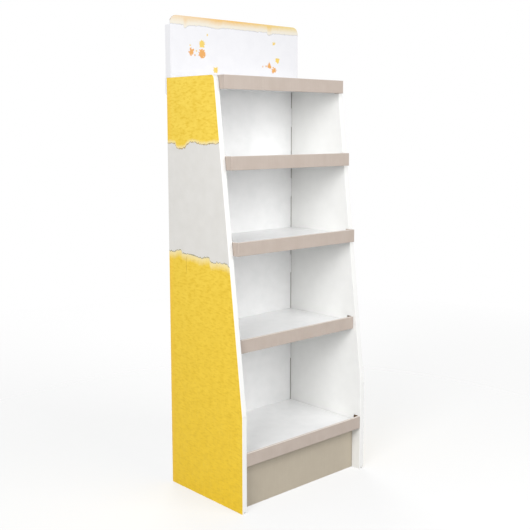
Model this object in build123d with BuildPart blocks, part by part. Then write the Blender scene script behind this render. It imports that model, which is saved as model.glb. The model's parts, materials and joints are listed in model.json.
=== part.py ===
"""Free-standing retail display stand, folded from corrugated card.

Two hollow side walls carry a back panel and five folded shelves. Each shelf is stiffened by
a flat pad whose ears hook into slots in the walls, and is edged by a printed front strip that
rises above it as a lip. A plinth stands under the lowest shelf, set back from the front. A
header card sleeves over the top of the back panel and is riveted behind the walls.

Frame: +Z up, the front faces -Y, X runs along the width. The origin is the centre of the
footprint, on the floor.
"""
import os

from build123d import *

os.makedirs("parts", exist_ok=True)

# ---- overall sizes (mm) ----
overall_width = 600
wall_depth = 382            # side wall, front to back, at the floor
wall_top_depth = 250        # side wall, front to back, at its top
bend_height = 330           # the front edge is vertical up to here, then leans back
header_height = 207         # header above the walls

# ---- board thicknesses ----
wall_board = 4
wall_thickness = 20         # outer panel, hollow and inner panel together
back_board = 7
shelf_board = 4
pad_board = 7
strip_board = 3
plinth_board = 4
header_board = 4

# ---- folds and cuts in the walls ----
wall_corner_radius = 15     # rounded corner at the top of the front edge
fold_radius = 1.5           # outside of a fold in the wall board
spine_slit = 0.8            # the front spine is slit across where it bends
foot_notch = 6              # square notch at the foot of the front spine

# ---- shelves, numbered from the top down ----
shelf_count = 5
lowest_strip_top = 204
strip_pitches = [258, 275, 322, 371]         # from each strip's top edge down to the next one's
strip_overhangs = [29, 31, 28, -11, 0]       # strip's face ahead of the walls' front edge
strips_with_returns = [1, 2, 3]              # strips that stand out past the walls
lip_height = 18             # strip above the shelf surface
strip_height = 45
rim_depth = 10              # folded rim along the top of a strip
return_depth = 40           # end return of a strip that stands out past the walls

# ---- shelf ears, tabs and their slots ----
ear_depth = 19
ear_reach = 7               # ear beyond the inner panel, inside the wall
ear_setback = 12            # least distance from the wall's front edge to the slot
rear_tab_width = 50
rear_tab_spacing = 300
rear_tab_reach = 9          # shelf tab past the front face of the back panel
side_tab_height = 70
side_tab_reach = 6          # back panel tab beyond the inner panel

# ---- back panel, plinth and header ----
back_inset = 13             # front face of the back panel, ahead of the walls' back edge
plinth_setback = 37
plinth_flap = 60
plinth_flange = 40
header_front = 24           # header's front face, ahead of the walls' back edge
header_corner_radius = 26
header_return_drop = 32     # the side returns stop this far below the header's top
header_flap_width = 120
header_ear_drop = 57        # rear flaps below the top of the walls
header_ear_chamfer = 3.5

# ---- rivets ----
rivet_radius = 3
rivet_head_radius = 8
rivet_head_thickness = 2.5
rivet_tip_radius = 4.2
rivet_tip_thickness = 2
rivet_drops = [18, 40]      # below the top of the walls

# ---- clearances ----
seam_gap = 2.5              # open seam each side of the back panel
end_clearance = 1.0         # each end of a shelf, strip and plinth
slot_clearance = 0.5        # all round an ear or tab in its slot
rear_gap = 0.5              # rear flaps behind the walls
rivet_clearance = 0.2
overshoot = 1               # a cut starts this far outside the board it opens

# ---- places worked out from the sizes ----
shelf_numbers = range(1, shelf_count + 1)
strip_tops = [lowest_strip_top + sum(strip_pitches[i:]) for i in range(shelf_count)]
wall_height = strip_tops[0]                  # the top strip is flush with the walls
tab_levels = strip_tops + [0]                # the back panel has a side tab halfway between these
side_tab_heights = [(tab_levels[i] + tab_levels[i + 1]) / 2 for i in range(shelf_count)]
header_rear = rear_gap + 2 * header_board
overall_depth = wall_depth + header_rear + rivet_head_thickness
front_y = -overall_depth / 2
back_y = front_y + wall_depth
inner_x = overall_width / 2 - wall_thickness
back_face_y = back_y - back_inset
end_x = inner_x - end_clearance
pad_gap = pad_board                          # the pad fills the hollow of its shelf
shelf_thickness = 2 * shelf_board + pad_gap
tongue_x = end_x
header_top = wall_height + header_height
return_top = header_top - header_return_drop
plinth_y = front_y + plinth_setback


def edge_y(height):
    """Y of the walls' front edge at a height."""
    if height <= bend_height:
        return front_y
    lean = (wall_depth - wall_top_depth) / (wall_height - bend_height)
    return front_y + lean * (height - bend_height)


def strip_y(number):
    """Y of a strip's front face."""
    return edge_y(strip_tops[number - 1]) - strip_overhangs[number - 1]


def surface_z(number):
    """Z of a shelf's top surface."""
    return strip_tops[number - 1] - lip_height


def ear_y(number):
    """Y of the front of a shelf's ears, behind the rim, the return and the wall's edge."""
    behind_rim = strip_y(number) + rim_depth
    if number in strips_with_returns:
        behind_rim = strip_y(number) + return_depth
    behind_edge = edge_y(strip_tops[number - 1]) + ear_setback
    return max(behind_rim, behind_edge) + slot_clearance


def block(x0, x1, y0, y1, z0, z1, mode=Mode.ADD):
    """Rectangular block between two corners, in the part being built."""
    with Locations(((x0 + x1) / 2, (y0 + y1) / 2, (z0 + z1) / 2)):
        Box(x1 - x0, y1 - y0, z1 - z0, mode=mode)


def both_sides(x0, x1):
    """The stretch from x0 to x1 on the right, and its mirror image on the left."""
    return [(x0, x1), (-x1, -x0)]


def save(name, part):
    part.label = name
    export_step(part, f"parts/{name}.step")


# ---- side walls: one folded sheet each, hollow, open at the foot ----
def wall_outline(foot, inset):
    """Side profile of a wall, in Y and Z, from the foot height up."""
    with BuildSketch() as outline:
        with BuildLine():
            Polyline(
                (front_y, foot),
                (back_y, foot),
                (back_y, wall_height),
                (edge_y(wall_height), wall_height),
                (front_y, bend_height),
                close=True,
            )
        make_face()
        fillet(outline.vertices().group_by(Axis.Y)[-1].sort_by(Axis.X)[0], wall_corner_radius)
        if inset:
            offset(amount=-inset, mode=Mode.REPLACE)
    return outline.sketch


with BuildPart() as side_wall_right:
    with BuildSketch(Plane.YZ.offset(inner_x)):
        add(wall_outline(foot=0, inset=0))
    extrude(amount=wall_thickness)
    panel_edges = side_wall_right.edges().group_by(Axis.X)
    folds = (panel_edges[0] + panel_edges[-1]).filter_by(lambda e: e.center().Z > wall_board)
    fillet(folds, fold_radius)

    # the hollow between the two panels
    with BuildSketch(Plane.YZ.offset(inner_x + wall_board)):
        add(wall_outline(foot=-2 * wall_board, inset=wall_board))
    extrude(amount=wall_thickness - 2 * wall_board, mode=Mode.SUBTRACT)

    # slots for the ears of the shelf pads, tall enough to hook an ear in from above; behind
    # a return they stop at the shelf, where the return would otherwise leave them showing
    for number in shelf_numbers:
        slot_top = strip_tops[number - 1]
        if number in strips_with_returns:
            slot_top = surface_z(number)
        block(
            inner_x - overshoot, inner_x + wall_board,
            ear_y(number) - slot_clearance, ear_y(number) + ear_depth + slot_clearance,
            surface_z(number) - shelf_board - pad_board - slot_clearance, slot_top,
            mode=Mode.SUBTRACT,
        )

    # slots for the side tabs of the back panel
    for height in side_tab_heights:
        block(
            inner_x - overshoot, inner_x + wall_board,
            back_face_y - slot_clearance, back_face_y + back_board + slot_clearance,
            height - side_tab_height / 2 - slot_clearance,
            height + side_tab_height / 2 + slot_clearance,
            mode=Mode.SUBTRACT,
        )

    # slit across the front spine at the bend, and the notch at its foot
    spine_middle = inner_x + wall_thickness / 2
    block(
        inner_x + fold_radius, inner_x + wall_thickness - fold_radius,
        front_y - overshoot, front_y + wall_board,
        bend_height - spine_slit / 2, bend_height + spine_slit / 2,
        mode=Mode.SUBTRACT,
    )
    block(
        spine_middle - foot_notch / 2, spine_middle + foot_notch / 2,
        front_y - overshoot, front_y + wall_board, 0, foot_notch,
        mode=Mode.SUBTRACT,
    )

    # rivet holes through the back spine
    for drop in rivet_drops:
        with Locations(Plane((spine_middle, back_y, wall_height - drop), z_dir=(0, 1, 0))):
            Cylinder(rivet_radius + rivet_clearance, 3 * wall_board, mode=Mode.SUBTRACT)

with BuildPart() as side_wall_left:
    mirror(side_wall_right.part, about=Plane.YZ)

save("side_wall_right", side_wall_right.part)
save("side_wall_left", side_wall_left.part)

# ---- back panel: one flat sheet between the walls, locked into them by its side tabs ----
with BuildPart() as back_panel:
    panel_x = inner_x - seam_gap
    block(-panel_x, panel_x, back_face_y, back_face_y + back_board, 0, wall_height)
    for height in side_tab_heights:
        for x0, x1 in both_sides(panel_x, inner_x + wall_board + side_tab_reach):
            block(
                x0, x1, back_face_y, back_face_y + back_board,
                height - side_tab_height / 2, height + side_tab_height / 2,
            )
    for number in shelf_numbers:
        with Locations((0, back_face_y + back_board / 2, surface_z(number) - shelf_board / 2)):
            with GridLocations(rear_tab_spacing, 0, 2, 1):
                Box(
                    rear_tab_width + 2 * slot_clearance,
                    3 * back_board,
                    shelf_board + 2 * slot_clearance,
                    mode=Mode.SUBTRACT,
                )
save("back_panel", back_panel.part)


# ---- shelves, pads and front strips ----
for number in shelf_numbers:
    front = strip_y(number)
    top = strip_tops[number - 1]
    surface = surface_z(number)
    underside = surface - shelf_thickness
    has_returns = number in strips_with_returns
    corner_x = end_x - strip_board - slot_clearance
    corner_y = front + return_depth + slot_clearance

    # the shelf: a sheet folded into a flat sleeve, open at its two ends
    with BuildPart() as shelf:
        block(-end_x, end_x, front + strip_board, back_face_y, underside, surface)
        for x0, x1 in both_sides(rear_tab_spacing / 2 - rear_tab_width / 2,
                                 rear_tab_spacing / 2 + rear_tab_width / 2):
            block(x0, x1, back_face_y, back_face_y + rear_tab_reach,
                  surface - shelf_board, surface)
        block(
            -inner_x, inner_x,
            front + strip_board + shelf_board, back_face_y - shelf_board,
            underside + shelf_board, surface - shelf_board,
            mode=Mode.SUBTRACT,
        )
        if has_returns:
            for x0, x1 in both_sides(corner_x, inner_x):
                block(x0, x1, front, corner_y, underside - overshoot, surface + overshoot,
                      mode=Mode.SUBTRACT)
    save(f"shelf_{number}", shelf.part)

    # the pad: flat board that fills the sleeve, with an ear at each end
    with BuildPart() as pad:
        pad_z0 = underside + shelf_board
        pad_z1 = pad_z0 + pad_board
        pad_front = front + strip_board + shelf_board + slot_clearance
        block(-end_x, end_x, pad_front, back_face_y - shelf_board - slot_clearance,
              pad_z0, pad_z1)
        if has_returns:
            for x0, x1 in both_sides(corner_x, inner_x):
                block(x0, x1, front, corner_y, pad_z0 - overshoot, pad_z1 + overshoot,
                      mode=Mode.SUBTRACT)
        for x0, x1 in both_sides(end_x, inner_x + wall_board + ear_reach):
            block(x0, x1, ear_y(number), ear_y(number) + ear_depth, pad_z0, pad_z1)
    save(f"shelf_pad_{number}", pad.part)

    # the front strip: face, rim rolled over on to the shelf, and a hem turned up under it
    with BuildPart() as strip:
        with BuildSketch(Plane.YZ.offset(-end_x)):
            with BuildLine():
                Polyline(
                    (front, top - strip_height),
                    (front, top),
                    (front + rim_depth, top),
                    (front + rim_depth, surface),
                    (front + rim_depth - strip_board, surface),
                    (front + rim_depth - strip_board, top - strip_board),
                    (front + strip_board, top - strip_board),
                    (front + strip_board, underside),
                    (front + 2 * strip_board, underside),
                    (front + 2 * strip_board, top - strip_height),
                    close=True,
                )
            make_face()
        extrude(amount=2 * end_x)
        if has_returns:
            for x0, x1 in both_sides(end_x - strip_board, end_x):
                block(x0, x1, front, front + return_depth, top - strip_height, top)
    save(f"front_strip_{number}", strip.part)

# ---- plinth: front panel with flaps turned back along the walls and under the lowest shelf ----
with BuildPart() as plinth:
    plinth_top = surface_z(shelf_count) - shelf_thickness
    block(-end_x, end_x, plinth_y, plinth_y + plinth_board, 0, plinth_top)
    block(-end_x, end_x, plinth_y, plinth_y + plinth_flange, plinth_top - plinth_board, plinth_top)
    for x0, x1 in both_sides(end_x - plinth_board, end_x):
        block(x0, x1, plinth_y, plinth_y + plinth_flap, 0, plinth_top - plinth_board)
save("plinth", plinth.part)

# ---- header: one card, folded back at its sides and down behind the walls ----
with BuildPart() as header_card:
    header_y = back_y - header_front
    flap_y = back_y + rear_gap
    half_width = overall_width / 2
    with BuildSketch(Plane.XZ.offset(-header_y)):
        with Locations((0, wall_height + header_height / 2)):
            Rectangle(overall_width, header_height)
        fillet(vertices().group_by(Axis.Y)[-1], header_corner_radius)
        with Locations((0, (surface_z(1) + wall_height) / 2)):
            Rectangle(2 * tongue_x, wall_height - surface_z(1))
    extrude(amount=-header_board)
    for x0, x1 in both_sides(half_width - header_board, half_width):
        block(x0, x1, header_y, flap_y + header_board, wall_height, return_top)
    for x0, x1 in both_sides(half_width - header_flap_width, half_width):
        block(x0, x1, flap_y, flap_y + header_board, wall_height - header_ear_drop, return_top)
        block(x0, x1, flap_y + header_board, flap_y + 2 * header_board,
              wall_height - header_ear_drop, wall_height)
    hem_edges = header_card.edges().filter_by(Axis.X).group_by(Axis.Z)[0].group_by(Axis.Y)[-1]
    chamfer(hem_edges, length=header_ear_chamfer, length2=2 * header_ear_chamfer)
    for side in (-1, 1):
        for drop in rivet_drops:
            hole_x = side * (inner_x + wall_thickness / 2)
            with Locations(Plane((hole_x, flap_y, wall_height - drop), z_dir=(0, 1, 0))):
                Cylinder(rivet_radius + rivet_clearance, 6 * header_board, mode=Mode.SUBTRACT)
save("header_card", header_card.part)

# ---- rivets: plastic push rivets through the rear flaps and the walls' back spines ----
with BuildPart() as header_rivets:
    grip = header_rear + wall_board
    for side in (-1, 1):
        for drop in rivet_drops:
            rivet_x = side * (inner_x + wall_thickness / 2)
            seat = Plane((rivet_x, back_y + header_rear, wall_height - drop), z_dir=(0, -1, 0))
            down = (Align.CENTER, Align.CENTER, Align.MIN)
            with Locations(seat):
                Cylinder(rivet_radius, grip + rivet_tip_thickness, align=down)
            with Locations(seat.offset(-rivet_head_thickness)):
                Cylinder(rivet_head_radius, rivet_head_thickness, align=down)
            with Locations(seat.offset(grip)):
                Cylinder(rivet_tip_radius, rivet_tip_thickness, align=down)
save("header_rivets", header_rivets.part)
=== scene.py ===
"""Looks of the cardboard display stand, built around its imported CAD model.

Metres, in the model's own frame: +Z up, the open front faces -Y, the floor is Z = 0. Folded
pieces are soft copies of their CAD nodes, with rounded folds and crisp cut edges, but the side
walls and the shelf pads show as CAD made them. The raw edges of board along the top of the back
panel and of the header are opened up to show their flutes.
"""
import json
import math

import bmesh
import bpy
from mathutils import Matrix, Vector


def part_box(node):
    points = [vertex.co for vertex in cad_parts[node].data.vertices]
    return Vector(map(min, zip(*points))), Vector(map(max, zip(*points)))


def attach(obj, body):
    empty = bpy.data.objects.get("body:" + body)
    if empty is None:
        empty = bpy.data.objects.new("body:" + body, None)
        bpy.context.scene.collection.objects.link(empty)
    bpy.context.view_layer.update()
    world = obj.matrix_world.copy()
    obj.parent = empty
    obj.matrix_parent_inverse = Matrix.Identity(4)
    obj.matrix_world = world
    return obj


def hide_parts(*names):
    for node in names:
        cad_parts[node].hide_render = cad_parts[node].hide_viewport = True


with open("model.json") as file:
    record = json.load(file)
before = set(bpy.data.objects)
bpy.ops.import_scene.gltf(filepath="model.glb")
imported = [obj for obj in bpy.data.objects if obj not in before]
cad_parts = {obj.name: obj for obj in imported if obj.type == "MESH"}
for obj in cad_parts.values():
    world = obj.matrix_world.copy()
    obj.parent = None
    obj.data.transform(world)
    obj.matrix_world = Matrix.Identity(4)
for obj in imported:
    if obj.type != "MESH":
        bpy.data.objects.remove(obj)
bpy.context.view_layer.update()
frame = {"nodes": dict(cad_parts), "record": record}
nodes = frame["nodes"]

MM = 0.001
SHELVES = range(1, 6)           # numbered from the top down

# ---- places taken from the frame ----
wall_low, wall_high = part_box("side_wall_right")
inner_x, outer_x = wall_low.x, wall_high.x
front_y, back_y = wall_low.y, wall_high.y
wall_top = wall_high.z
header_low, header_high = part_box("header_card")
panel_low, panel_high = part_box("back_panel")

# ---- board ----
FLUTE_PITCH = 6.5 * MM          # one wave of the corrugated core
FLUTE_STEPS = 12                # steps along one wave
LINER = 0.5 * MM                # outer paper of the board
PAPER = 0.3 * MM                # paper of the core
EDGE_DEPTH = 3 * MM             # how far one can see into a cut edge

# ---- folds and cuts ----
FOLD_RADIUS = 1.6 * MM
STRIP_FOLD_RADIUS = 1.4 * MM
SHELF_FOLD_RADIUS = 1 * MM
FOLD_SEGMENTS = 4
CUT_RADIUS = 0.25 * MM
SHARP_ANGLE = math.radians(50)  # edges sharper than this are folds or cuts
SOFT_ANGLE = math.radians(30)   # edges flatter than this are shaded smooth
FLAT_ANGLE = math.radians(1)    # faces that meet flatter than this are one face
ROUNDED_WIDTH = 1.5 * MM        # faces narrower than this are part of a rounded fold
WELD = 0.02 * MM
TOUCH = 0.2 * MM                # places nearer than this are the same

# ---- sizes that the frame doesn't give as a box ----
RIM_DEPTH = 10 * MM             # rolled rim of a front strip
SEAM_GAP = 2.5 * MM             # open seam each side of the back panel
REAR_GAP = 0.5 * MM             # header's flaps behind the walls
HEADER_BOARD = 4 * MM
HEADER_CORNER = 26 * MM
HEADER_RETURN_DROP = 32 * MM    # header's returns and flaps stop this far below its top
HEADER_FLAP_WIDTH = 120 * MM
RIVET_DROPS = (18 * MM, 40 * MM)
BEND_HEIGHT = 330 * MM          # the walls' front edge is upright up to here
WALL_LEAN = 132 / 1100          # above the bend it leans back this far for each unit up

# ---- print on the side walls: (distance from the back edge, height), mm ----
UPPER_TEAR = [(0, 1211), (30, 1212), (48, 1202), (58, 1193), (84, 1194), (100, 1200), (112, 1209),
              (143, 1216), (165, 1212), (206, 1209), (240, 1212), (400, 1212)]
LOWER_TEAR = [(0, 840), (30, 840), (61, 849), (78, 839), (133, 838), (182, 832), (205, 838),
              (218, 838), (231, 823), (270, 827), (310, 825), (325, 816), (400, 816)]
CRACK_FROM_BACK = 97 * MM
CRACK_LOW, CRACK_HIGH = 768 * MM, 832 * MM

# ---- print on the header: (X, height), mm ----
HEADER_TEAR = [(-300, 1608), (-250, 1608), (-243, 1606), (-237, 1597), (-228, 1604), (-160, 1609),
               (-90, 1605), (-68, 1609), (137, 1609), (147, 1601), (158, 1601), (168, 1607),
               (300, 1609)]
BAND_BASE = 1608 * MM
# ink splashes: X, height, radius in mm, and number of arms
ORANGE_SPOTS = [(-211, 1520, 13, 5), (-164, 1516, 15, 0), (153, 1489, 11, 3),
                (175, 1474, 12, 2), (137, 1487, 3, 0), (120, 1485, 3, 0), (-196, 1509, 3, 0)]
YELLOW_SPOTS = [(-165, 1548, 14, 5), (-104, 1463, 12, 4), (175, 1571, 7, 2), (193, 1511, 11, 4),
                (-141, 1580, 3.5, 0), (-189, 1524, 3, 0), (-216, 1541, 3, 0)]

# ---- rivet outline, from the middle of its head to its end: (radius, Y from the head), mm ----
RIVET_HEAD = [(0.0, -0.9), (2.6, -0.9), (3.0, -0.6), (3.2, -0.05), (3.8, 0.0), (6.2, -0.35),
              (7.4, -1.0), (8.0, -1.9), (8.0, -2.3), (7.8, -2.5), (3.0, -2.5)]
RIVET_SHANK = [(3.0, -4.0), (2.7, -4.3), (3.0, -4.6)]
# of the tip: (radius, Y from the rivet's end)
RIVET_TIP = [(3.0, 2.4), (3.4, 2.1), (4.2, 1.9), (4.0, 1.0), (2.6, 0.2), (0.0, 0.0)]
RIVET_COLUMNS = 32

# ---- camera, light and floor ----
CAMERA_PLACE = (-2.0965, -2.2535, 1.2589)
LOOKS_DOWN, LOOKS_RIGHT = math.radians(7.97), math.radians(42.77)
LENS, SENSOR = 59.4, 36         # mm
SHIFT_X, SHIFT_Y = -0.0024, -0.026
SOFTBOXES = [
    # name, place, target, size, watts
    ("key", (-3.9, -1.8, 2.3), (0, 0, 0.8), 1.9, 136),
    ("front", (0.6, -2.9, 2.1), (0, 0, 0.4), 2.2, 61),
    ("rear", (1.9, 3.0, 2.2), (0, 0, 0.8), 1.8, 60),
]
AMBIENT_LIGHT = 0.36
FLOOR_RADIUS = 3.5
FLOOR_CLEARNESS = 0.65          # at the stand; the floor is all clear at its rim
FLOOR_FADE_START = 0.9


def srgb(red, green, blue):
    """Linear colour of a printed colour given in steps of 255."""
    parts = [value / 255 for value in (red, green, blue)]
    return (*((p / 12.92 if p < 0.04045 else ((p + 0.055) / 1.055) ** 2.4) for p in parts), 1)


# ---- colours ----
INNER_WHITE = srgb(251, 251, 251)
INNER_WHITE_SHADE = srgb(241, 242, 242)
WALL_WHITE = srgb(240, 240, 238)
WALL_WHITE_SHADE = srgb(235, 235, 233)
# painted shade for the wall inside the back panel's seam and in the corner in front of it
PAINTED_SEAM_SHADE = srgb(182, 180, 172)
GREY_PRINT = srgb(227, 225, 221)
GREY_PRINT_SHADE = srgb(220, 218, 213)
YELLOW_TOP = srgb(250, 218, 88)
YELLOW_LOW = srgb(244, 204, 38)
YELLOW_DEEP = srgb(226, 184, 28)
YELLOW_PALE = srgb(252, 220, 84)
ORANGE_EDGE = srgb(246, 196, 60)
CREAM = srgb(250, 236, 186)
TEAR_LINE = srgb(146, 140, 112)
BROWN_TEAR = srgb(160, 132, 66)
CRACK = srgb(176, 136, 30)
HEADER_WHITE = srgb(227, 227, 230)
HEADER_WHITE_SHADE = srgb(222, 222, 226)
HEADER_REAR = srgb(238, 238, 241)
HEADER_TEAR_LINE = srgb(190, 188, 192)
BAND_LOW = srgb(226, 219, 204)
BAND_CREAM = srgb(225, 205, 175)
BAND_ORANGE = srgb(225, 180, 100)
BAND_YELLOW = srgb(225, 205, 140)
YELLOW_INK = srgb(228, 193, 62)
ORANGE_INK = srgb(220, 150, 38)
STRIP_TAUPE = srgb(189, 176, 166)
STRIP_TAUPE_SHADE = srgb(180, 166, 155)
# pale cut edge of the strips' rim together with a painted highlight along it
RIM_EDGE_AND_HIGHLIGHT = srgb(238, 230, 222)
PLINTH_TAUPE = srgb(187, 177, 159)
PLINTH_TAUPE_SHADE = srgb(181, 170, 152)
KRAFT = srgb(176, 142, 100)
KRAFT_SHADE = srgb(160, 126, 86)
RIVET_WHITE = srgb(236, 236, 234)
RIVET_WHITE_SHADE = srgb(228, 228, 226)
FLOOR_WHITE = srgb(247, 247, 247)
FLOOR_WHITE_SHADE = srgb(245, 245, 245)


# ---- materials ----
class Card:
    """A material put together node by node. Its pattern is placed in the model's own frame."""

    def __init__(self, name, roughness):
        self.material = bpy.data.materials.new(name)
        self.material.use_nodes = True
        self.tree = self.material.node_tree
        self.shader = self.tree.nodes["Principled BSDF"]
        self.shader.inputs["Roughness"].default_value = roughness
        self.place = self.node("ShaderNodeTexCoord").outputs["Object"]
        self.x, self.y, self.z = self.node("ShaderNodeSeparateXYZ", self.place).outputs
        self.side = self.math("ABSOLUTE", self.x)

    def node(self, kind, *values, **settings):
        node = self.tree.nodes.new(kind)
        for setting, value in settings.items():
            setattr(node, setting, value)
        for socket, value in zip(node.inputs, values):
            self.feed(socket, value)
        return node

    def feed(self, socket, value):
        if isinstance(value, bpy.types.NodeSocket):
            self.tree.links.new(value, socket)
        else:
            socket.default_value = value

    def math(self, operation, *values):
        return self.node("ShaderNodeMath", *values, operation=operation).outputs[0]

    def plus(self, first, second):
        return self.math("ADD", first, second)

    def minus(self, first, second):
        return self.math("SUBTRACT", first, second)

    def times(self, first, second):
        return self.math("MULTIPLY", first, second)

    def other(self, mask):
        return self.minus(1.0, mask)

    def fade(self, value, start, end):
        """0 before start, 1 after end, and a straight rise between them."""
        return self.node("ShaderNodeMapRange", value, start, end, 0.0, 1.0).outputs[0]

    def between(self, value, rise, fall):
        """1 between two places, with a straight rise over the first and a fall over the second."""
        return self.times(self.fade(value, *rise), self.other(self.fade(value, *fall)))

    def mix(self, share, first, second):
        node = self.node("ShaderNodeMix", share, data_type="RGBA")
        self.feed(node.inputs[6], first)
        self.feed(node.inputs[7], second)
        return node.outputs[2]

    def noise(self, size, detail=2.0, stretch=(1, 1, 1)):
        """Noise from 0 to 1, with features of a size in metres, stretched along the axes."""
        scaled = self.node("ShaderNodeVectorMath", self.place, operation="DIVIDE")
        scaled.inputs[1].default_value = [size * s for s in stretch]
        noise = self.node("ShaderNodeTexNoise", scaled.outputs[0])
        noise.inputs["Scale"].default_value = 1
        noise.inputs["Detail"].default_value = detail
        return noise.outputs["Fac"]

    def spread(self, noise, amount):
        """Noise about 0, of plus or minus an amount."""
        return self.times(self.minus(noise, 0.5), 2 * amount)

    def outline(self, along, points):
        """Height of a listed outline, in metres, at a distance along it."""
        first, last = points[0][0], points[-1][0]
        low = min(height for _, height in points)
        high = max(height for _, height in points)
        share = self.fade(along, first * MM, last * MM)
        curve = self.node("ShaderNodeFloatCurve", 1.0, share)
        line = curve.mapping.curves[0].points
        places = [((p - first) / (last - first), (h - low) / (high - low)) for p, h in points]
        line[0].location, line[-1].location = places[0], places[-1]
        for place in places[1:-1]:
            line.new(*place)
        curve.mapping.update()
        height = self.node("ShaderNodeMapRange", curve.outputs[0], 0.0, 1.0, low * MM, high * MM)
        return height.outputs[0]

    def waves(self, along):
        """The corrugated core showing through: a wave along one axis."""
        turned = self.times(along, 2 * math.pi / FLUTE_PITCH)
        return self.math("MULTIPLY_ADD", self.math("SINE", turned), 0.5, 0.5)

    def relief(self, height, depth):
        """Adds a height from 0 to 1 to the surface's relief, of a depth in metres."""
        normal = self.shader.inputs["Normal"]
        bump = self.node("ShaderNodeBump")
        self.feed(bump.inputs["Height"], height)
        bump.inputs["Distance"].default_value = depth
        if normal.links:
            self.feed(bump.inputs["Normal"], normal.links[0].from_socket)
        self.feed(normal, bump.outputs[0])

    def gloss(self, noise, low, high):
        """Lets the roughness vary between two values."""
        rough = self.node("ShaderNodeMapRange", noise, 0.0, 1.0, low, high).outputs[0]
        self.feed(self.shader.inputs["Roughness"], rough)

    def paint(self, colour):
        self.feed(self.shader.inputs["Base Color"], colour)
        return self.material


def sheen_and_fibre(card, flutes_along=None):
    """What all coated card has: fine fibre, a faint orange peel and, at times, the core's waves."""
    card.relief(card.noise(0.9 * MM, detail=3.0), depth=0.03 * MM)
    card.relief(card.noise(14 * MM), depth=0.25 * MM)
    if flutes_along is not None:
        card.relief(card.waves(flutes_along), depth=0.03 * MM)
    card.gloss(card.noise(30 * MM, detail=3.0), 0.42, 0.56)


def mottled(card, colour, shade):
    """A colour with a slightly darker cloudy shade and short paper fibres."""
    cloud = card.fade(card.noise(40 * MM, detail=4.0), 0.35, 0.7)
    fibre = card.fade(card.noise(1.2 * MM, stretch=(1, 1, 3)), 0.55, 0.75)
    clouded = card.mix(card.times(cloud, 0.6), colour, shade)
    return card.mix(card.times(fibre, 0.25), clouded, shade)


def bare_kraft(card, stretch):
    """Uncoated brown paper, with its fibres drawn out along one axis."""
    fibre = card.fade(card.noise(1.5 * MM, detail=4.0, stretch=stretch), 0.4, 0.7)
    return card.mix(fibre, KRAFT, KRAFT_SHADE)


def white_card():
    card = Card("white_card", 0.5)
    sheen_and_fibre(card, card.x)
    return card.paint(mottled(card, INNER_WHITE, INNER_WHITE_SHADE))


def shelf_card():
    """The shelves' card is glossier, so that it mirrors the bay faintly."""
    card = Card("shelf_card", 0.3)
    card.gloss(card.noise(30 * MM, detail=3.0), 0.34, 0.42)
    card.shader.inputs["Specular IOR Level"].default_value = 0.8
    return card.paint(mottled(card, INNER_WHITE, INNER_WHITE_SHADE))


def yellow_paper(card, along):
    """Yellow, paler towards the top, with clouds, short rows and streaks, warmer at the back."""
    yellow = card.mix(card.fade(card.z, 0.0, wall_top), YELLOW_LOW, YELLOW_TOP)
    cloud = card.fade(card.noise(28 * MM, detail=5.0, stretch=(1, 1, 0.7)), 0.38, 0.72)
    yellow = card.mix(card.times(cloud, 0.35), yellow, YELLOW_DEEP)
    rows = card.fade(card.noise(7 * MM, detail=3.0, stretch=(1, 3, 0.9)), 0.48, 0.68)
    yellow = card.mix(card.times(rows, 0.6), yellow, YELLOW_DEEP)
    streak = card.fade(card.noise(9 * MM, detail=3.0, stretch=(1, 0.3, 5)), 0.52, 0.75)
    yellow = card.mix(card.times(streak, 0.3), yellow, YELLOW_PALE)
    near_back = card.other(card.fade(along, 0.0, 30 * MM))
    return card.mix(card.times(near_back, 0.5), yellow, ORANGE_EDGE)


def torn_bands(card, along):
    """Yellow paper above and below a plain grey-white band, with pale torn edges."""
    teeth = card.spread(card.noise(7 * MM, detail=4.0, stretch=(1, 1, 3)), 8 * MM)
    above = card.minus(card.z, card.outline(along, UPPER_TEAR))
    below = card.minus(card.outline(along, LOWER_TEAR), card.z)
    yellow = yellow_paper(card, along)
    colour = mottled(card, GREY_PRINT, GREY_PRINT_SHADE)
    for beyond, pale_depth, line in ((above, 12 * MM, BROWN_TEAR), (below, 27 * MM, TEAR_LINE)):
        edge = card.plus(beyond, teeth)
        paled = card.times(card.other(card.fade(edge, 2 * MM, pale_depth)), 0.8)
        torn = card.mix(paled, yellow, CREAM)
        colour = card.mix(card.fade(edge, 0.0, 1 * MM), colour, torn)
        on_line = card.between(edge, (-2.4 * MM, -1.2 * MM), (0.6 * MM, 2 * MM))
        thin = card.fade(card.noise(16 * MM), 0.3, 0.55)
        strength = card.times(on_line, card.math("MULTIPLY_ADD", thin, 0.45, 0.5))
        colour = card.mix(strength, colour, line)
    return colour


def cracked(card, along, colour):
    """A short upright crack in the print, which wanders a little."""
    wandering = card.plus(along, card.spread(card.noise(20 * MM), 4 * MM))
    off_crack = card.math("ABSOLUTE", card.minus(wandering, CRACK_FROM_BACK))
    in_height = card.between(
        card.z, (CRACK_LOW, CRACK_LOW + 20 * MM), (CRACK_HIGH - 8 * MM, CRACK_HIGH)
    )
    in_crack = card.times(in_height, card.other(card.fade(off_crack, 0.6 * MM, 1.6 * MM)))
    return card.mix(card.times(in_crack, 0.6), colour, CRACK)


def wall_inside(card):
    """White, with painted shade in the seam in which the back panel stands and along a thin line in
    the corner just in front of it.
    """
    # painted shade: darker inside the seam's gap and along a thin line in the corner in front of it
    in_painted_seam_shade = card.between(
        card.y,
        (panel_low.y - 1.4 * MM, panel_low.y - 1 * MM),
        (panel_high.y, panel_high.y + 0.5 * MM),
    )
    return card.mix(in_painted_seam_shade, mottled(card, WALL_WHITE, WALL_WHITE_SHADE), PAINTED_SEAM_SHADE)


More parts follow.
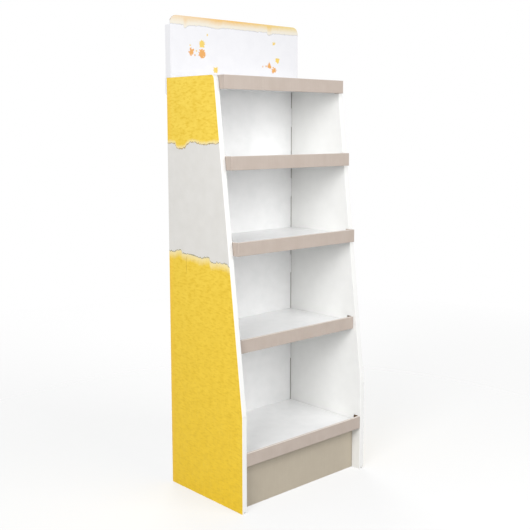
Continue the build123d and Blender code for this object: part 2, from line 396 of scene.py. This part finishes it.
def wall_hollow(card):
    """A mask of the hollow between a wall's two panels, clear of the spines around it."""
    leant = card.math("MAXIMUM", card.minus(card.z, BEND_HEIGHT), 0.0)
    from_front = card.minus(card.y, card.math("MULTIPLY_ADD", leant, WALL_LEAN, front_y))
    from_back = card.minus(back_y, card.y)
    from_top = card.minus(wall_top, card.z)
    from_corner = card.plus(from_front, from_top)
    mask = card.between(
        card.side,
        (inner_x + 1 * MM, inner_x + 1.2 * MM),
        (outer_x - 1.2 * MM, outer_x - 1 * MM),
    )
    for depth, least in ((from_front, 3.2), (from_back, 3.2), (from_top, 3.2), (from_corner, 14)):
        mask = card.times(mask, card.fade(depth, least * MM, (least + 0.3) * MM))
    return mask


def wall_print():
    """Printed outside, white inside and along the spines, bare board in the hollow."""
    card = Card("wall_print", 0.5)
    sheen_and_fibre(card, card.y)
    along = card.minus(back_y, card.y)
    printed = cracked(card, along, torn_bands(card, along))
    outside = card.fade(card.side, outer_x - 0.6 * MM, outer_x - 0.4 * MM)
    colour = card.mix(outside, wall_inside(card), printed)
    return card.paint(card.mix(wall_hollow(card), colour, bare_kraft(card, (1, 1, 3))))


def header_band(card, edge):
    """Cream at the torn edge, and from cream over orange to yellow along the top."""
    ramp = card.node("ShaderNodeValToRGB", card.fade(card.x, -outer_x, outer_x))
    stops = [(0.0, BAND_CREAM), (0.45, BAND_ORANGE), (1.0, BAND_YELLOW)]
    ramp.color_ramp.elements.new(0.5)
    for element, (position, colour) in zip(ramp.color_ramp.elements, stops):
        element.position = position
        element.color = colour
    band_height = header_high.z - BAND_BASE
    towards_top = card.fade(edge, 0.25 * band_height, 0.9 * band_height)
    return card.mix(towards_top, BAND_LOW, ramp.outputs[0])


def splashed(card, colour, spots, ink):
    """Ink spots with ragged rims, some of them with arms."""
    ragged = card.spread(card.noise(6 * MM, detail=3.0), 12 * MM)
    for x, z, radius, arms in spots:
        away_x = card.minus(card.x, x * MM)
        away_z = card.minus(card.z, z * MM)
        squared = card.plus(card.times(away_x, away_x), card.times(away_z, away_z))
        away = card.plus(card.math("SQRT", squared), card.times(ragged, min(1, radius / 10)))
        if arms:
            turn = card.math("MULTIPLY_ADD", card.math("ARCTAN2", away_z, away_x), arms, x)
            arm = card.math("MULTIPLY_ADD", card.math("COSINE", turn), 0.5, -0.5)
            away = card.minus(away, card.times(arm, 0.25 * radius * MM))
        inked = card.other(card.fade(away, (radius - 1) * MM, (radius + 0.8) * MM))
        colour = card.mix(card.times(inked, 0.9), colour, ink)
    return colour


def header_print():
    """Front: white, under a torn band of orange and yellow, with a few ink spots."""
    card = Card("header_print", 0.5)
    sheen_and_fibre(card, card.x)
    teeth = card.spread(card.noise(9 * MM, detail=4.0), 5 * MM)
    edge = card.plus(card.minus(card.z, card.outline(card.x, HEADER_TEAR)), teeth)
    colour = mottled(card, HEADER_WHITE, HEADER_WHITE_SHADE)
    colour = card.mix(card.fade(edge, -0.5 * MM, 0.5 * MM), colour, header_band(card, edge))
    on_line = card.between(edge, (-2.6 * MM, -1.2 * MM), (-0.2 * MM, 1.2 * MM))
    colour = card.mix(card.times(on_line, 0.8), colour, HEADER_TEAR_LINE)
    colour = splashed(card, colour, YELLOW_SPOTS, YELLOW_INK)
    colour = splashed(card, colour, ORANGE_SPOTS, ORANGE_INK)
    front = card.other(card.fade(card.y, header_low.y + 0.5 * MM, header_low.y + 0.7 * MM))
    return card.paint(card.mix(front, HEADER_REAR, colour))


def taupe_card(name, colour, shade, rim_edge_and_highlight):
    """Printed card with the core's waves across it, and its top rim paled by a share: the card's
    pale cut edge together with a painted highlight.
    """
    card = Card(name, 0.5)
    sheen_and_fibre(card)
    card.relief(card.waves(card.x), depth=0.04 * MM)
    streak = card.fade(card.noise(2.4 * MM, detail=3.0, stretch=(1, 1, 40)), 0.4, 0.7)
    streaked = card.mix(card.times(streak, 0.5), colour, shade)
    printed = mottled(card, streaked, shade)
    share = card.node("ShaderNodeSeparateXYZ", card.node("ShaderNodeTexCoord").outputs["Generated"])
    # painted highlight along the top of the rim, together with the pale cut edge of the card
    rim = card.times(card.fade(share.outputs[2], 0.975, 0.99), rim_edge_and_highlight)
    return card.paint(card.mix(rim, printed, RIM_EDGE_AND_HIGHLIGHT))


def kraft_board():
    card = Card("kraft_board", 0.8)
    card.relief(card.noise(1.2 * MM, detail=4.0), depth=0.06 * MM)
    return card.paint(bare_kraft(card, (1, 3, 1)))


def rivet_plastic():
    card = Card("rivet_plastic", 0.35)
    card.relief(card.noise(0.5 * MM), depth=0.01 * MM)
    return card.paint(card.mix(card.noise(4 * MM), RIVET_WHITE, RIVET_WHITE_SHADE))


MATERIALS = {
    "wall_print": wall_print(),
    "white_card": white_card(),
    "shelf_card": shelf_card(),
    "header_print": header_print(),
    "strip_card": taupe_card("strip_card", STRIP_TAUPE, STRIP_TAUPE_SHADE, rim_edge_and_highlight=0.7),
    "plinth_card": taupe_card("plinth_card", PLINTH_TAUPE, PLINTH_TAUPE_SHADE, rim_edge_and_highlight=0.0),
    "kraft_board": kraft_board(),
    "rivet_plastic": rivet_plastic(),
}


def finish_nodes():
    """Gives every CAD node the material of its slot."""
    for row in frame["record"]["subparts"]:
        mesh = nodes[row["node"]].data
        mesh.materials.clear()
        mesh.materials.append(MATERIALS[row["material_slot"]])


# ---- shapes ----
def new_piece(name, shape, slot, *finishes):
    """An object from a bmesh, riding on the stand, with the finishes given. Its slot is not used.
    """
    mesh = bpy.data.meshes.new(name)
    shape.to_mesh(mesh)
    shape.free()
    for finish in finishes:
        mesh.materials.append(MATERIALS[finish])
    piece = bpy.data.objects.new(name, mesh)
    bpy.context.scene.collection.objects.link(piece)
    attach(piece, "root")
    return piece


def node_shape(name):
    """The clean shape of a CAD node: joined corners, and one face for each flat side."""
    shape = bmesh.new()
    shape.from_mesh(nodes[name].data)
    for layer in list(shape.loops.layers.uv):
        shape.loops.layers.uv.remove(layer)
    bmesh.ops.remove_doubles(shape, verts=shape.verts, dist=WELD)
    bmesh.ops.dissolve_limit(shape, angle_limit=FLAT_ANGLE, verts=shape.verts, edges=shape.edges)
    return shape


def sharp_edges(shape):
    return [
        edge for edge in shape.edges
        if edge.is_manifold and edge.calc_face_angle() > SHARP_ANGLE
    ]


def round_edges(shape, edges, radius, segments):
    bmesh.ops.bevel(
        shape, geom=edges, offset=radius, segments=segments, profile=0.5,
        affect="EDGES", clamp_overlap=True,
    )


def shade(shape):
    """Smooth over the rounded folds, and flat on the panels between them."""
    for face in shape.faces:
        longest = max(edge.calc_length() for edge in face.edges)
        face.smooth = face.calc_area() < ROUNDED_WIDTH * longest
    for edge in shape.edges:
        edge.smooth = edge.is_manifold and edge.calc_face_angle() < SOFT_ANGLE


def fold(shape, is_fold, radius=FOLD_RADIUS):
    """Rounds the folds of a sheet, and just eases its cut edges."""
    folds = [
        edge for edge in sharp_edges(shape)
        if is_fold((edge.verts[0].co + edge.verts[1].co) / 2,
                   (edge.verts[0].co - edge.verts[1].co).normalized())
    ]
    round_edges(shape, folds, radius, FOLD_SEGMENTS)
    round_edges(shape, sharp_edges(shape), CUT_RADIUS, 1)


def same(first, second):
    return abs(first - second) < TOUCH


def runs_along(direction):
    """Whether an edge runs nearly along one axis, given its direction's part on that axis."""
    return abs(direction) > 0.9


def open_edge(shape, is_open):
    """Sinks the core of the board between its two liners, along the cut edges chosen."""
    faces = [face for face in shape.faces if is_open(face.calc_center_median(), face.normal)]
    bmesh.ops.inset_region(
        shape, faces=faces, thickness=LINER, depth=-EDGE_DEPTH, use_even_offset=False
    )
    for face in faces:
        face.material_index = 1


def flute(name, start, end, top, amplitude):
    """The wave of the core that shows in a cut edge, from start to end, up to a top height."""
    start, end = Vector(start), Vector(end)
    length = (end - start).length
    along = (end - start).normalized()
    across = Vector((-along.y, along.x, 0))
    steps = max(2, round(length / FLUTE_PITCH * FLUTE_STEPS))
    shape = bmesh.new()
    rings = []
    for step in range(steps + 1):
        far = length * step / steps
        middle = start + along * far
        middle += across * amplitude * math.sin(2 * math.pi * far / FLUTE_PITCH)
        high = top(middle) - CUT_RADIUS
        low = high - EDGE_DEPTH
        half = across * PAPER / 2
        ring = [
            shape.verts.new((*(middle - half).xy, low)),
            shape.verts.new((*(middle + half).xy, low)),
            shape.verts.new((*(middle + half).xy, high)),
            shape.verts.new((*(middle - half).xy, high)),
        ]
        rings.append(ring)
    for first, second in zip(rings, rings[1:]):
        for corner in range(4):
            after = (corner + 1) % 4
            shape.faces.new((first[corner], first[after], second[after], second[corner]))
    shape.faces.new(reversed(rings[0]))
    shape.faces.new(rings[-1])
    bmesh.ops.recalc_face_normals(shape, faces=shape.faces)
    for face in shape.faces:
        face.smooth = True
    return new_piece(name, shape, "kraft_board", "kraft_board")


def make_strips():
    """Each front strip: one folded card with a rolled rim, a hem and, on three, end returns."""
    for number in SHELVES:
        node = f"front_strip_{number}"
        low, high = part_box(node)

        def is_fold(middle, along):
            at_front = same(middle.y, low.y)
            at_rim = same(middle.z, high.z) and same(middle.y, low.y + RIM_DEPTH)
            at_end = same(abs(middle.x), high.x)
            lengthwise = runs_along(along.x) and (at_front or at_rim)
            return lengthwise or (runs_along(along.z) and at_front and at_end)

        shape = node_shape(node)
        fold(shape, is_fold, STRIP_FOLD_RADIUS)
        shade(shape)
        piece = new_piece(f"{node}_card", shape, "strip_card", "strip_card")
        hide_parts(node)


def make_shelves():
    """Each shelf: a flat sleeve whose four long edges are folds."""
    for number in SHELVES:
        node = f"shelf_{number}"
        low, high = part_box(node)

        def is_fold(middle, along):
            outer_height = same(middle.z, low.z) or same(middle.z, high.z)
            outer_depth = same(middle.y, low.y) or same(middle.y, panel_low.y)
            return runs_along(along.x) and outer_height and outer_depth

        shape = node_shape(node)
        fold(shape, is_fold, SHELF_FOLD_RADIUS)
        shade(shape)
        piece = new_piece(f"{node}_card", shape, "white_card", "shelf_card")
        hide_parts(node)


def make_plinth():
    """The plinth: one card, folded back at its ends and along its top."""
    low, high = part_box("plinth")

    def is_fold(middle, along):
        at_end = runs_along(along.z) and same(abs(middle.x), high.x)
        at_top = runs_along(along.x) and same(middle.z, high.z)
        return same(middle.y, low.y) and (at_end or at_top)

    shape = node_shape("plinth")
    fold(shape, is_fold)
    shade(shape)
    piece = new_piece("plinth_card_front", shape, "plinth_card", "plinth_card")
    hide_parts("plinth")


def make_middle_liner(half_width, y):
    """The paper between the two waves of the double board, as it shows along the top."""
    shape = bmesh.new()
    bmesh.ops.create_cube(shape, size=1)
    bmesh.ops.scale(shape, vec=(2 * half_width, PAPER, EDGE_DEPTH), verts=shape.verts)
    centre = (0, y, panel_high.z - EDGE_DEPTH / 2 - CUT_RADIUS)
    bmesh.ops.translate(shape, vec=centre, verts=shape.verts)
    new_piece("back_panel_middle_liner", shape, "kraft_board", "kraft_board")


def make_back_panel():
    """The back panel: double board, with both waves of its core open along the top."""
    shape = node_shape("back_panel")
    fold(shape, lambda middle, along: False)
    open_edge(shape, lambda middle, normal: normal.z > 0.99 and same(middle.z, panel_high.z))
    shade(shape)
    piece = new_piece("back_panel_board", shape, "white_card", "white_card", "kraft_board")
    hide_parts("back_panel")

    half_width = inner_x - SEAM_GAP - 2 * LINER
    middle_y = panel_low.y + 0.55 * (panel_high.y - panel_low.y)
    make_middle_liner(half_width, middle_y)
    for layer, (near, far) in enumerate(((panel_low.y, middle_y), (middle_y, panel_high.y))):
        y = (near + far) / 2
        flute(f"back_panel_flute_{layer + 1}", (-half_width, y, 0), (half_width, y, 0),
              lambda place: panel_high.z, (far - near) / 2 - LINER)


def header_top(place):
    """Height of the header's top edge, which is rounded at its two corners."""
    past = abs(place.x) - (header_high.x - HEADER_CORNER)
    if past <= 0:
        return header_high.z
    past = min(past, HEADER_CORNER)
    return header_high.z - HEADER_CORNER + math.sqrt(HEADER_CORNER ** 2 - past ** 2)


def header_shape(return_top):
    """The header's sheet, folded up to the top of its returns and left plain above them."""
    def is_fold(middle, along):
        upright = runs_along(along.z) and same(abs(middle.x), header_high.x)
        hem = runs_along(along.x) and same(middle.z, header_low.z)
        return (upright and middle.z < return_top) or hem

    # the cut edges are level, but slope along the two rounded corners
    def is_open(middle, normal):
        at_corner = middle.z > header_high.z - HEADER_CORNER
        at_top = middle.z > return_top - 0.5 * MM
        return at_top and normal.z > (0.25 if at_corner else 0.99)

    shape = node_shape("header_card")
    for edge in sharp_edges(shape):
        low, high = sorted(edge.verts, key=lambda corner: corner.co.z)
        if low.co.z < wall_top + 1 * MM and high.co.z > return_top + 1 * MM:
            bmesh.utils.edge_split(edge, low, (return_top - low.co.z) / (high.co.z - low.co.z))
    fold(shape, is_fold)
    open_edge(shape, is_open)
    shade(shape)
    return shape


def make_header():
    """The header: one folded card, with its core open along the top of every panel."""
    return_top = header_high.z - HEADER_RETURN_DROP
    piece = new_piece(
        "header_board", header_shape(return_top), "header_print", "header_print", "kraft_board"
    )
    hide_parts("header_card")

    half_board = HEADER_BOARD / 2
    amplitude = half_board - LINER
    front = header_low.y + half_board
    rear = back_y + REAR_GAP + half_board
    edge_x = header_high.x - 2 * LINER
    flute("header_flute", (-edge_x, front, 0), (edge_x, front, 0), header_top, amplitude)
    for side, label in ((-1, "left"), (1, "right")):
        x = side * (header_high.x - half_board)
        inner = side * (header_high.x - HEADER_FLAP_WIDTH)
        flute(f"header_return_flute_{label}", (x, front + half_board, 0), (x, rear, 0),
              lambda place: return_top, amplitude)
        flute(f"header_flap_flute_{label}", (x, rear, 0), (inner, rear, 0),
              lambda place: return_top, amplitude)


def turn_profile(shape, centre, profile):
    """Turns an outline of (radius, Y), in mm from a centre, about an axis along Y."""
    rings = []
    for radius, y in profile:
        ring = []
        for column in range(RIVET_COLUMNS if radius else 1):
            turn = 2 * math.pi * column / RIVET_COLUMNS
            out = Vector((radius * math.cos(turn), y, radius * math.sin(turn)))
            ring.append(shape.verts.new(centre + out * MM))
        rings.append(ring)
    for first, second in zip(rings, rings[1:]):
        for column in range(RIVET_COLUMNS):
            after = (column + 1) % RIVET_COLUMNS
            corners = [first[column % len(first)], first[after % len(first)],
                       second[after % len(second)], second[column % len(second)]]
            shape.faces.new(list(dict.fromkeys(corners)))


def make_rivets():
    """Push rivets: a domed head with a round recess, a ribbed shank and a spread tip."""
    low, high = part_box("header_rivets")
    end = (low.y - high.y) / MM
    profile = RIVET_HEAD + RIVET_SHANK + [(radius, end + y) for radius, y in RIVET_TIP]
    shape = bmesh.new()
    for side in (-1, 1):
        for drop in RIVET_DROPS:
            centre = Vector((side * (inner_x + outer_x) / 2, high.y, wall_top - drop))
            turn_profile(shape, centre, profile)
    bmesh.ops.recalc_face_normals(shape, faces=shape.faces)
    shade(shape)
    piece = new_piece("push_rivets", shape, "rivet_plastic", "rivet_plastic")
    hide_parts("header_rivets")


# ---- camera, light and floor ----
def add_camera():
    data = bpy.data.cameras.new("camera")
    data.sensor_width = SENSOR
    data.lens = LENS
    data.shift_x = SHIFT_X
    data.shift_y = SHIFT_Y
    camera = bpy.data.objects.new("camera", data)
    camera.location = CAMERA_PLACE
    camera.rotation_euler = (math.radians(90) - LOOKS_DOWN, 0, -LOOKS_RIGHT)
    bpy.context.scene.collection.objects.link(camera)
    bpy.context.scene.camera = camera


def add_softbox(name, place, target, size, watts):
    data = bpy.data.lights.new(name, "AREA")
    data.shape = "SQUARE"
    data.size = size
    data.energy = watts
    light = bpy.data.objects.new(name, data)
    light.location = place
    light.rotation_euler = (Vector(target) - Vector(place)).to_track_quat("-Z", "Y").to_euler()
    bpy.context.scene.collection.objects.link(light)


def add_floor():
    """A pale floor, two thirds clear, that fades out into the white background."""
    mesh = bpy.data.meshes.new("floor")
    shape = bmesh.new()
    bmesh.ops.create_circle(shape, cap_ends=True, segments=64, radius=FLOOR_RADIUS)
    shape.to_mesh(mesh)
    shape.free()
    floor = bpy.data.objects.new("floor", mesh)
    bpy.context.scene.collection.objects.link(floor)
    card = Card("floor", 0.9)
    card.paint(card.mix(card.noise(0.8), FLOOR_WHITE, FLOOR_WHITE_SHADE))
    across = card.node("ShaderNodeVectorMath", card.place, operation="LENGTH").outputs["Value"]
    far = card.fade(across, FLOOR_FADE_START, FLOOR_RADIUS)
    clearness = card.math("MULTIPLY_ADD", far, 1 - FLOOR_CLEARNESS, FLOOR_CLEARNESS)
    surface = card.node("ShaderNodeMixShader", clearness)
    card.feed(surface.inputs[1], card.shader.outputs[0])
    card.feed(surface.inputs[2], card.node("ShaderNodeBsdfTransparent").outputs[0])
    card.feed(card.tree.nodes["Material Output"].inputs["Surface"], surface.outputs[0])
    mesh.materials.append(card.material)


def add_studio():
    """Soft boxes, and white surroundings that are dimmer as a light than they look."""
    world = bpy.data.worlds.new("studio")
    world.use_nodes = True
    tree = world.node_tree
    seen = tree.nodes.new("ShaderNodeLightPath").outputs["Is Camera Ray"]
    strength = tree.nodes.new("ShaderNodeMapRange")
    strength.inputs["To Min"].default_value = AMBIENT_LIGHT
    strength.inputs["To Max"].default_value = 1.0
    tree.links.new(seen, strength.inputs["Value"])
    tree.nodes["Background"].inputs["Color"].default_value = (1, 1, 1, 1)
    tree.links.new(strength.outputs[0], tree.nodes["Background"].inputs["Strength"])
    bpy.context.scene.world = world
    bpy.context.scene.view_settings.view_transform = "Standard"
    for softbox in SOFTBOXES:
        add_softbox(*softbox)


add_camera()
add_studio()
add_floor()
finish_nodes()
make_strips()
make_shelves()
make_plinth()
make_back_panel()
make_header()
make_rivets()
